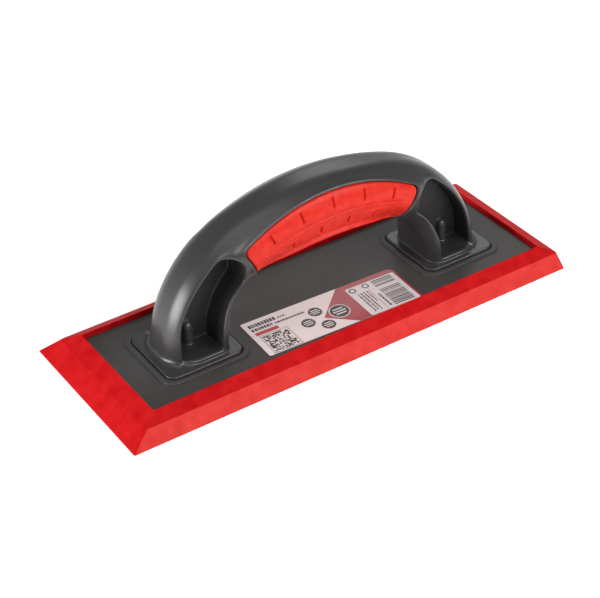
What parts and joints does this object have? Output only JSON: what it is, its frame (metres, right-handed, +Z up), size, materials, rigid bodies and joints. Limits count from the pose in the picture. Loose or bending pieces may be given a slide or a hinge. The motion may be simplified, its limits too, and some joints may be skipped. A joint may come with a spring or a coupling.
{
  "type": "rubber grout float",
  "caption": "Hand float with a thick rubber pad bevelled at one end, a stiff backing plate and an arched two-legged handle with a soft grip.",
  "frame": {"origin": "middle of the sole, on the working face of the rubber", "axes": "+X along the float from its bevelled end to its square end, +Y across it, +Z up out of the sole towards the handle"},
  "size_m": [0.25, 0.095, 0.0779],
  "materials": {
    "red_rubber": "matt moulded rubber with a fine mottle",
    "bond_adhesive": "cured contact adhesive",
    "plate_plastic": "fine spark-eroded texture, satin",
    "handle_plastic": "satin moulded plastic",
    "grip_elastomer": "satin soft-touch elastomer",
    "screw_steel": "zinc plated",
    "label_film": "printed film, semi-gloss"
  },
  "bodies": {
    "root": {"rubber_pad": "red_rubber", "bond_film": "bond_adhesive", "backing_plate": "plate_plastic", "handle_body": "handle_plastic", "soft_grip": "grip_elastomer", "handle_screws": "screw_steel", "size_label": "label_film"}
  },
  "joints": []
}
